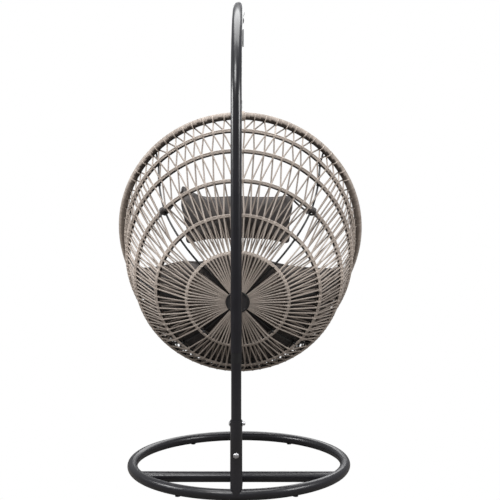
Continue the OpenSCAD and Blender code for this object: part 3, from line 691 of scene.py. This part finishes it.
# The outer side runs once round the tube, less a slit of 0.02 radians at 147 degrees. The side on
# the tube runs back in steps four times as long, at a radius that keeps its flats off the tube.
way = np.radians(147) + np.linspace(0, 2 * np.pi - 0.02, ROUND_STEPS)[None]
way_back = way[:, ::-4]
outer_r = ROD[RIM] + ROLL_T + ROLL_RIDGE * np.abs(np.sin(np.pi * phase)) ** 0.6
inner_r = (ROD[RIM] + ROLL_GAP) / np.cos(np.pi / 8)
roll_points = np.concatenate([
    on_ring(RIM, a, outer_r * np.cos(way), outer_r * np.sin(way)),
    on_ring(RIM, a, inner_r * np.cos(way_back), inner_r * np.sin(way_back)),
], 1)
ways = np.concatenate([way, way_back], 1)
across = ways.shape[1]
ring_no, way_no = np.meshgrid(np.arange(roll_rings), np.arange(across), indexing="ij")
here = ring_no * across
ahead = (ring_no + 1) % roll_rings * across
beside = (way_no + 1) % across
quads = np.stack([here + way_no, ahead + way_no, ahead + beside, here + beside], -1).reshape(-1, 4)

roll_place = np.zeros(roll_points.shape)
roll_place[..., 1] = phase * 0.005
roll_place[..., 2] = ways * (ROD[RIM] + 0.003) + (np.arange(roll_rings) // TURN_STEPS)[:, None] * 3.1
# upper is 1 above the rim's 24 degrees. The way is 0 outward, 90 to the rear and 180 inward. The
# painted shade starts at an angle that drops like a saw's teeth, one tooth for each bar.
upper = np.clip((np.sin(a) - np.sin(np.radians(24))) / 0.12, 0, 1)
tooth = (a * COUNT / (2 * np.pi)) % 1.0
facing = np.degrees(ways) % 360
start = 42 + (48 - 26 * tooth) * upper
reach = 50 - 36 * upper
shade = np.clip((facing - start) / reach, 0, 1) * np.clip((300 - facing) / 60, 0, 1)
# Painted shade: the inner side deeper, most in the upper part, and the whole roll a little darker, most at the top of
# the rim.
shade_depth = -0.62 - 0.80 * upper
upper_shade = -0.14 - 0.16 * np.maximum(0, np.sin(a))
roll_tones = np.repeat(rng.normal(0.0, 0.08, turns), TURN_STEPS)[:, None] + upper_shade + shade_depth * shade**1.3
roll = add_piece("rim_roll", roll_points.reshape(-1, 3), quads.tolist(), strand, "basket",
                 {"strand": roll_place.reshape(-1, 3), "tone": roll_tones.ravel()})
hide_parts("rim_binding")

# ---------------------------------------------------------------------------
# Rim bars: in the upper part each strand of the outer zone ends over the
# roll, from its inner side over the rear to the outer side
# ---------------------------------------------------------------------------
BAR_R = 0.0028
BAR_STEPS = 22
bar_share = np.linspace(0, 1, BAR_STEPS)
bar_way = np.radians(36 + 190 * bar_share)
bar_lift = 0.0140 + 0.0034 * np.sin(np.linspace(0, np.pi, BAR_STEPS)) ** 0.4
bar_width = (bar_share - 0.5) * 0.006 / ring_radius[RIM]
bar_a = windings[RIM][np.sin(windings[RIM]) > 0.42]
bar_paths = on_ring(RIM, bar_a[:, None] + bar_width, bar_lift * np.cos(bar_way), bar_lift * np.sin(bar_way))
verts, faces, extra = sweep(bar_paths, BAR_R, 6, (0.9, 0.1, 0.3), tone=rng.normal(0.05, 0.08, len(bar_paths)))
bar = add_piece("rim_bars", verts, faces, strand, "basket", extra)

# ---------------------------------------------------------------------------
# Eye wrap: strand wound round the rim on both sides of the basket's eye, and
# twice round the foot of the eye itself
# ---------------------------------------------------------------------------
WRAP_R = 0.0028
eye_low, eye_high = [np.array(corner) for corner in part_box("rim_eye")]
wrap_turn = np.linspace(0, 2 * np.pi, 31)[:-1]
wrap_paths = []
# Each turn round the rim: its place along the rim and its radius.
for place, girth in ((-0.019, 0.0185), (-0.0145, 0.0185), (-0.010, 0.0201), (0.010, 0.0201), (0.0145, 0.0185),
                     (0.019, 0.0185)):
    a = TOP + place / ring_radius[RIM]
    wrap_paths.append(on_ring(RIM, a, girth * np.cos(wrap_turn), girth * np.sin(wrap_turn)))
# Each turn round the foot: its height above the eye's lowest point and its radius.
for height, girth in ((0.0065, 0.0095), (0.0108, 0.0078)):
    circle = np.stack([girth * np.cos(wrap_turn), girth * np.sin(wrap_turn), 0.0007 * np.sin(wrap_turn)], -1)
    wrap_paths.append(circle + [0.0, (eye_low + eye_high)[1] / 2, eye_low[2] + height])
wrap_tones = rng.normal(0.0, 0.08, len(wrap_paths))
verts, faces, extra = sweep(wrap_paths, WRAP_R, 8, (0.5, 0.3, 0.8), closed=True, tone=wrap_tones)
wrap = add_piece("eye_wrap", verts, faces, strand, "basket", extra)


# ---------------------------------------------------------------------------
# Seat cushion: dark grey-brown woven polyester over loose filling, lying in
# the bowl, with a piped seam round its edge
# ---------------------------------------------------------------------------
def woven_fabric(name, low, high):
    """Plain weave on the cut cloth's own coordinates, slub threads, soft clouding; painted
    light makes the cover paler from the height low up to the height high."""
    fabric = Material(name)
    thread_turns = 5236.0
    cloth = fabric.attribute("cloth", "Vector")
    across_cloth, along_cloth, _ = fabric.parts(cloth)
    warp = maths("SINE", across_cloth * thread_turns)
    weft = maths("SINE", along_cloth * thread_turns)
    thread = 0.5 + 0.25 * (warp * weft) + 0.25 * maths("MAXIMUM", warp, weft)
    slub_warp = fabric.noise(1.0, 2.0, 0.5, fabric.stretched(cloth, (900.0, 25.0, 1.0)))
    slub_weft = fabric.noise(1.0, 2.0, 0.5, fabric.stretched(cloth, (25.0, 900.0, 1.0)))
    cloud = fabric.noise(11.0, 4.0)
    share = (0.30 + 0.5 * (slub_warp + slub_weft - 1.0) + 0.5 * (cloud - 0.5) + 0.35 * thread).clip()
    plain = fabric.mix(share, (0.032, 0.027, 0.025), (0.090, 0.080, 0.077))
    painted_lit_colour = fabric.mix(share, (0.130, 0.120, 0.115), (0.260, 0.242, 0.236))
    # Painted light: the cover is paler towards its upper edge, where light falls on it from above.
    painted_light = fabric.parts(fabric.place)[2].step(low, high) * 0.85
    fabric.set(Base_Color=fabric.mix(painted_light, plain, painted_lit_colour), Roughness=0.86, Sheen_Weight=0.15, Sheen_Roughness=0.5)
    return fabric.bump(thread + 0.6 * (slub_warp + slub_weft), 0.0005, 0.7)


def stuff(piece, pressure, cap, slack, floor_way=None):
    """Cloth simulation: air pressure fills the loose cover. No point moves further than cap, so the
    cushion stays in its place, and none moves along floor_way, off what it lies on."""
    frames = 20
    count = len(piece.data.vertices)
    rest = np.empty(count * 3)
    piece.data.vertices.foreach_get("co", rest)
    rest = rest.reshape(-1, 3)
    cloth = piece.modifiers.new("cloth", "CLOTH")
    cloth.settings.use_pressure = True
    cloth.settings.uniform_pressure_force = pressure
    cloth.settings.quality = 5
    cloth.settings.mass = 0.25
    cloth.settings.tension_stiffness = 12.0
    cloth.settings.compression_stiffness = 12.0
    cloth.settings.bending_stiffness = 0.4
    cloth.settings.shrink_min = -slack
    cloth.settings.effector_weights.gravity = 0.0
    cloth.point_cache.frame_start = 1
    cloth.point_cache.frame_end = frames
    for step in range(1, frames + 1):
        scene.frame_set(step)
    shaped = piece.evaluated_get(bpy.context.evaluated_depsgraph_get())
    filled = np.empty(count * 3)
    shaped.data.vertices.foreach_get("co", filled)
    move = filled.reshape(-1, 3) - rest
    reach = np.linalg.norm(move, axis=1, keepdims=True)
    move *= cap * np.tanh(reach / cap) / np.maximum(reach, 1e-9)
    if floor_way is not None:
        move -= np.maximum(0, (move * floor_way).sum(1, keepdims=True)) * floor_way
    piece.modifiers.remove(cloth)
    scene.frame_set(1)
    piece.data.vertices.foreach_set("co", (rest + move).ravel())
    piece.data.update()
    return rest + move


def round_off(piece):
    """One step of subdivision rounds the pad's faces."""
    finer = piece.modifiers.new("subdivision", "SUBSURF")
    finer.levels = 1
    finer.render_levels = 1


def piping(name, edge, radius, fabric):
    """A cord sewn into the seam, covered in the same cloth."""
    verts, faces, extra = sweep([edge], radius, 8, (0.3, 0.5, 0.8), closed=True)
    seam = add_piece(name, verts, faces, fabric, "basket", {"cloth": extra["strand"][:, [2, 0, 1]]})


# The pads are made a little small, because they swell, and rest on the ribs' inner side.
INSET = 0.0055
RIB_SIDE = 0.01245
SEAT_REST = RIB_SIDE + INSET
SEAT_T = 0.080
SEAT_AROUND = 176
seat_fabric = woven_fabric("seat_fabric", 0.69, 0.90)
seat_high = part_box("seat_cushion")[1]
seat_a = np.arange(SEAT_AROUND) / SEAT_AROUND * 2 * np.pi

# The edge is at the CAD cushion's edge. At the back it is at one height, which rises to the middle
# with a hump on the left, and at the front it lies at a share of the way from hub to rim.
k_line = np.linspace(0.4, 6.0, 400)
heights = on_ring(k_line[:, None], seat_a[None])[..., 2]
back_z = seat_high[2] - 0.050 + 0.061 * np.maximum(0, np.sin(seat_a)) ** 1.9
left_hump = 0.018 * np.exp(-((np.cos(seat_a) + 0.86) / 0.10) ** 2) * (np.sin(seat_a) > 0)
first_above = (heights > (back_z + left_hump)[None]).argmax(0)
back_k = np.where(heights.max(0) > back_z, k_line[first_above], RIM)
back_k = np.where(np.sin(seat_a) < -0.2, RIM, back_k)
front_k = 4.1 + 1.5 * np.maximum(0, -np.sin(seat_a)) ** 0.8
edge_waves = np.fft.fft(np.minimum(back_k, front_k))
edge_k = np.real(np.fft.ifft(edge_waves * np.exp(-(np.fft.fftfreq(SEAT_AROUND, 1 / SEAT_AROUND) / 34.0) ** 2)))


def seat_rings(share, lift):
    """Rings of the pad at shares of the way to its edge, lifted off the skin. The underside sags
    between the ribs, and the upper side puckers along the seam."""
    k = share[:, None] * edge_k[None]
    under_side = lift[:, None] < SEAT_T / 3
    sag = 0.0029 * np.sin(4 * seat_a) ** 2 * under_side
    by_seam = np.exp(-((share[:, None] - 0.93) / 0.06) ** 2)
    pucker = 0.0018 * by_seam * np.sin(22 * seat_a + 2 * np.sin(5 * seat_a)) * ~under_side
    return on_ring(k, seat_a) + (SEAT_REST - sag + pucker + lift[:, None])[..., None] * inward(k, seat_a)


CROWN_DIP = 0.010
shares = np.sin(np.linspace(0, np.pi / 2, 31)[1:])
under = 0.16 * SEAT_T * shares**6
crown = under + (SEAT_T - 2 * INSET) * np.sqrt(np.maximum(0, 1 - shares**4))
crown = crown - CROWN_DIP * np.exp(-(shares / 0.12) ** 2)
rings = np.concatenate([seat_rings(shares, under), seat_rings(shares[-2::-1], crown[-2::-1])])
into = -REAR
seat_foot = ring_mid[HUB] + SEAT_REST * into
seat_crown = seat_foot + (SEAT_T - 2 * INSET - CROWN_DIP) * into
verts, faces = closed_grid(rings, seat_foot, seat_crown)
# The cut cloth, laid flat: about 0.12 m for each ring.
run_length = np.concatenate([shares, shares[-2::-1]])[:, None] * edge_k[None] * 0.12
flat = np.zeros((len(verts), 3))
flat[1:-1, 0] = (run_length * np.cos(seat_a)).ravel()
flat[1:-1, 1] = (run_length * np.sin(seat_a)).ravel()
seat = add_piece("seat_pad", verts, faces, seat_fabric, "basket", {"cloth": flat})
# The underside's points may not move inward, off the ribs that carry them.
floor_way = np.zeros((len(verts), 3))
floor_way[0] = into
floor_way[1:1 + len(shares) * SEAT_AROUND] = inward(shares[:, None] * edge_k, seat_a).reshape(-1, 3)
filled = stuff(seat, 4.0, 0.0056, 0.05, floor_way)
seat_edge = filled[1 + (len(shares) - 1) * SEAT_AROUND + np.arange(SEAT_AROUND)]
round_off(seat)
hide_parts("seat_cushion")
piping("seat_piping", seat_edge, 0.0038, seat_fabric)

# ---------------------------------------------------------------------------
# Head pillow: the same cloth over a soft filling, piped, lying against the
# upper back, its upper corners drawn out towards the ties, the left one most
# ---------------------------------------------------------------------------
PILLOW_T = 0.095
PILLOW_AROUND = 128
pillow_fabric = woven_fabric("pillow_fabric", 1.02, 1.19)
pillow_low, pillow_high = [np.array(corner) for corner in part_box("head_pillow")]
k_line = np.linspace(1.0, 5.0, 2000)
mids = on_ring(k_line, TOP) + (RIB_SIDE + PILLOW_T / 2) * inward(k_line, TOP)
pillow_no = np.abs(mids[:, 2] - (pillow_low[2] + pillow_high[2]) / 2).argmin()
pillow_mid = mids[pillow_no]
pillow_out = inward(k_line[pillow_no], TOP)
pillow_up = run_of(k_line[pillow_no], TOP)
ACROSS = np.array([1.0, 0.0, 0.0])


def on_pillow(x, out, up):
    """A place on the pillow, from its middle across, out of the back and up. It bends round the
    basket: out grows with the square of x, as on a circle of 0.56 m."""
    x, out, up = np.broadcast_arrays(x, out, up)
    bent = out + x * x / 1.12
    return pillow_mid + x[..., None] * ACROSS + bent[..., None] * pillow_out + up[..., None] * pillow_up


def boxy(value):
    """A sine or cosine made much fuller, for an outline between an ellipse and a rectangle."""
    return np.sign(value) * np.abs(value) ** 0.42


# The outline pulls in between its corners. The upper ones are drawn up and out, the lower ones in.
pillow_a = np.arange(PILLOW_AROUND) / PILLOW_AROUND * 2 * np.pi
upper_side = np.sin(pillow_a) > 0
pull = np.cos(2 * pillow_a) ** 2
edge_x = 0.229 * boxy(np.cos(pillow_a)) * (1 - 0.07 * pull)
edge_up = 0.103 * boxy(np.sin(pillow_a)) * (1 - np.where(upper_side, 0.07, 0.14) * pull)
corner = np.clip(np.abs(edge_x) / 0.212, 0, 1) ** 7
left = edge_x < 0
edge_up = edge_up + np.where(upper_side, corner * (0.021 + 0.043 * left), 0.010 - corner * 0.016)
edge_x = edge_x * np.where(upper_side, 1.0 + 0.03 * corner + 0.05 * corner * left, 1.0 - 0.03 * corner)


def pillow_rings(share, out):
    """Rings of the pad at shares of the way from its middle to its edge, so far out of the back."""
    return on_pillow(share[:, None] * edge_x, out[:, None], share[:, None] * edge_up)


shares = np.sin(np.linspace(0, np.pi / 2, 25)[1:])
pillow_half = PILLOW_T / 2 - INSET
plump = pillow_half * np.maximum(0, 1 - shares**2.2) ** 0.7
rings = np.concatenate([pillow_rings(shares, -plump), pillow_rings(shares[-2::-1], plump[-2::-1])])
verts, faces = closed_grid(rings, on_pillow(0.0, -pillow_half, 0.0), on_pillow(0.0, pillow_half, 0.0))
both = np.concatenate([shares, shares[-2::-1]])[:, None]
flat = np.zeros((len(verts), 3))
flat[1:-1, 0] = (both * edge_x).ravel()
flat[1:-1, 1] = (both * edge_up).ravel()
pillow = add_piece("pillow_pad", verts, faces, pillow_fabric, "basket", {"cloth": flat})
filled = stuff(pillow, 4.0, 0.0075, 0.06)
pillow_edge = filled[1 + (len(shares) - 1) * PILLOW_AROUND + np.arange(PILLOW_AROUND)]
round_off(pillow)
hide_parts("head_pillow")
piping("pillow_piping", pillow_edge, 0.0032, pillow_fabric)

# ---------------------------------------------------------------------------
# Pillow ties: rolled strips of the same cloth, dark, from the pillow's upper
# corners, lashed crosswise round rib and hoop 3, with two loose ends each
# ---------------------------------------------------------------------------
TIE_R = 0.0040
TIE_HOOP = 3
DOWN = np.array([0.0, 0.0, -1.0])
tie_fabric = woven_fabric("tie_fabric", 3.0, 4.0)
knot_turn = np.linspace(0, 2 * np.pi, 41)[:-1, None]
tie_share = np.linspace(0, 1, 14)[:, None]
knot_paths = []
strip_paths = []
for side in (-1, 1):
    a = np.radians(90 - 45 * side)
    deep = inward(TIE_HOOP, a)
    along = along_ring(a)
    run = unit(np.cross(deep, along))
    crossing = on_ring(TIE_HOOP, a) + 0.0035 * deep
    from_corner = pillow_edge[np.argmin(np.abs(pillow_a - np.radians(90 - 54 * side)))]
    # Three loops of the lashing, slanted two ways.
    for way, size in ((along + run, 0.0150), (along - run, 0.0142), (along + 0.55 * run, 0.0160)):
        knot_paths.append(crossing + size * np.cos(knot_turn) * unit(way) + 0.0182 * np.sin(knot_turn) * deep)
    # The strip from the corner hangs a little.
    strip_from = crossing + 0.017 * deep
    sagging = 0.006 * np.sin(np.pi * tie_share) * DOWN
    strip_paths.append(strip_from * (1 - tie_share) + from_corner * tie_share + sagging)
    # Two loose ends and a bead of cloth on the rear of the crossing.
    to_corner = unit(from_corner - crossing)
    knot = crossing - 0.0185 * deep
    for swing, length in ((0.9, 0.036), (-0.3, 0.030)):
        end = knot + length * unit(0.8 * DOWN + swing * to_corner + 0.15 * REAR)
        curl = 0.004 * np.sin(2.6 * np.pi * tie_share) * REAR
        strip_paths.append(knot * (1 - tie_share) + end * tie_share + curl)
    bead = 0.0062 * np.cos(knot_turn) * to_corner + 0.0052 * np.sin(knot_turn) * np.cross(to_corner, deep)
    knot_paths.append(knot + bead)
verts, faces, extra = sweep(strip_paths, TIE_R, 8, REAR)
ties = add_piece("tie_strips", verts, faces, tie_fabric, "basket", {"cloth": extra["strand"][:, [2, 0, 1]]})
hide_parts("pillow_ties")
verts, faces, extra = sweep(knot_paths, TIE_R, 8, (0.2, 0.4, 0.9), closed=True)
bows = add_piece("tie_knots", verts, faces, tie_fabric, "basket", {"cloth": extra["strand"][:, [2, 0, 1]]})
